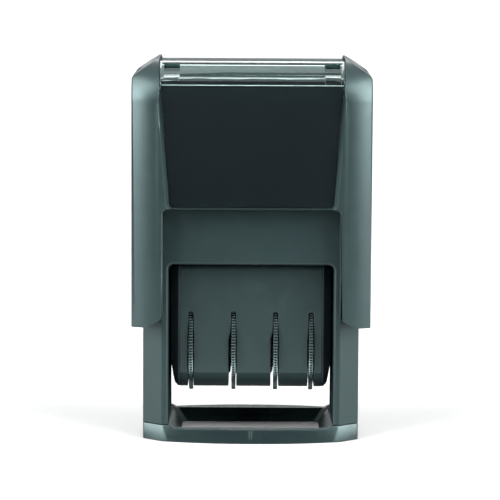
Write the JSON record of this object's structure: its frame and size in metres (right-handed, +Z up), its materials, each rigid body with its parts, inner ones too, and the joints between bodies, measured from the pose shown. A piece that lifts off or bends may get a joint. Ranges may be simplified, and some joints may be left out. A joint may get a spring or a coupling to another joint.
{
  "type": "self-inking date stamp",
  "caption": "Self-inking date stamp: pressing the housing down turns the carriage with its rubber date bands from the ink pad over to the paper; thin knurled wheels set the date.",
  "frame": {"origin": "middle of the foot's underside, where the stamp stands", "axes": "+X to the right, +Y from the front to the back, +Z up; the window and the wheels face -Y"},
  "size_m": [0.0522, 0.034, 0.084],
  "materials": {
    "housing_plastic": "satin",
    "frame_plastic": "satin",
    "foot_plastic": "satin",
    "carriage_plastic": "satin",
    "wheel_plastic": "knurled rim",
    "clear_plastic": "clear",
    "black_card": "plain black card",
    "tray_plastic": "satin",
    "felt": "inked felt",
    "spring_steel": "drawn wire",
    "yoke_plastic": "satin",
    "shaft_steel": "ground",
    "bridge_plastic": "satin",
    "band_rubber": "moulded type",
    "button_plastic": "satin"
  },
  "bodies": {
    "frame": {"lower_frame": "frame_plastic", "foot_frame": "foot_plastic", "ink_tray": "tray_plastic", "ink_pad": "felt", "return_spring": "spring_steel"},
    "housing": {"upper_housing": "housing_plastic", "window_cover": "clear_plastic", "index_card_front": "black_card", "index_card_rear": "black_card", "drive_yoke": "yoke_plastic"},
    "carriage": {"carriage_front": "carriage_plastic", "carriage_rear": "carriage_plastic", "cheek_left": "carriage_plastic", "cheek_right": "carriage_plastic", "wheel_shaft": "shaft_steel", "band_bridge": "bridge_plastic", "band_day_tens": "band_rubber", "band_day_units": "band_rubber", "band_month": "band_rubber", "band_year": "band_rubber"},
    "lock_button_left": {"lock_button_left": "button_plastic"},
    "lock_button_right": {"lock_button_right": "button_plastic"},
    "wheel_day_tens": {"wheel_day_tens": "wheel_plastic"},
    "wheel_day_units": {"wheel_day_units": "wheel_plastic"},
    "wheel_month": {"wheel_month": "wheel_plastic"},
    "wheel_year": {"wheel_year": "wheel_plastic"}
  },
  "joints": [
    {"name": "housing_press", "type": "slide", "parent": "frame", "child": "housing", "axis": [0, 0, -1], "range_m": [0, 0.0185], "stiffness_N_per_m": 400, "springref_m": -0.02, "deforming": ["return_spring"]},
    {"name": "carriage_flip", "type": "hinge", "parent": "housing", "child": "carriage", "pos_m": [0, 0, 0.0306], "axis": [1, 0, 0], "range_deg": [0, 180]},
    {"name": "wheel_day_tens_turn", "type": "hinge", "parent": "carriage", "child": "wheel_day_tens", "pos_m": [0, 0, 0.0206], "axis": [1, 0, 0], "continuous": true},
    {"name": "wheel_day_units_turn", "type": "hinge", "parent": "carriage", "child": "wheel_day_units", "pos_m": [0, 0, 0.0206], "axis": [1, 0, 0], "continuous": true},
    {"name": "wheel_month_turn", "type": "hinge", "parent": "carriage", "child": "wheel_month", "pos_m": [0, 0, 0.0206], "axis": [1, 0, 0], "continuous": true},
    {"name": "wheel_year_turn", "type": "hinge", "parent": "carriage", "child": "wheel_year", "pos_m": [0, 0, 0.0206], "axis": [1, 0, 0], "continuous": true},
    {"name": "lock_button_left_press", "type": "slide", "parent": "housing", "child": "lock_button_left", "axis": [1, 0, 0], "range_m": [0, 0.001], "stiffness_N_per_m": 400, "springref_m": -0.001},
    {"name": "lock_button_right_press", "type": "slide", "parent": "housing", "child": "lock_button_right", "axis": [-1, 0, 0], "range_m": [0, 0.001], "stiffness_N_per_m": 400, "springref_m": -0.001}
  ],
  "couplings": [
    {"joint": "carriage_flip", "follows": "housing_press", "rad_per_m": 169.81}
  ]
}
